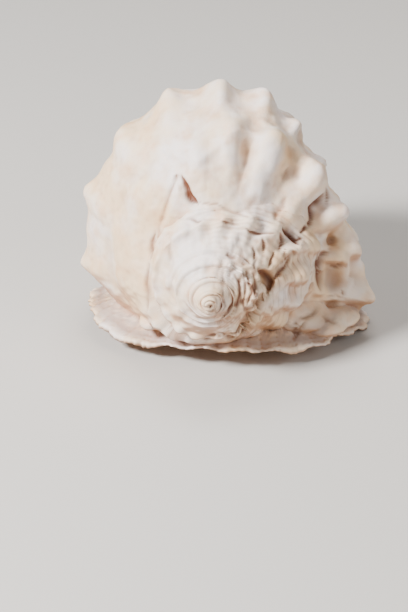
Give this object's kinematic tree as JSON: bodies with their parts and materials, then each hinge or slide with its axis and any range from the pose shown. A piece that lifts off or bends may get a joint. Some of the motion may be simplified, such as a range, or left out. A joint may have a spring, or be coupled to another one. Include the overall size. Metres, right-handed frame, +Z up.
{
  "type": "sea snail shell",
  "caption": "Large knobbly bleached sea snail shell lying on its flared rim, with a low coiled spire, rows of blunt knobs and an open mouth underneath.",
  "frame": {"origin": "middle of the bounding box of the shell as it lies, on the surface it lies on", "axes": "+Z up from the surface it lies on, the tip of the spire points to -Y and the front canal to +Y, the outer lip is on the +X side"},
  "size_m": [0.165, 0.2124, 0.1474],
  "materials": {
    "shell": "bleached and worn chalky shell, slightly silky"
  },
  "bodies": {
    "root": {"shell": "shell"}
  },
  "joints": []
}
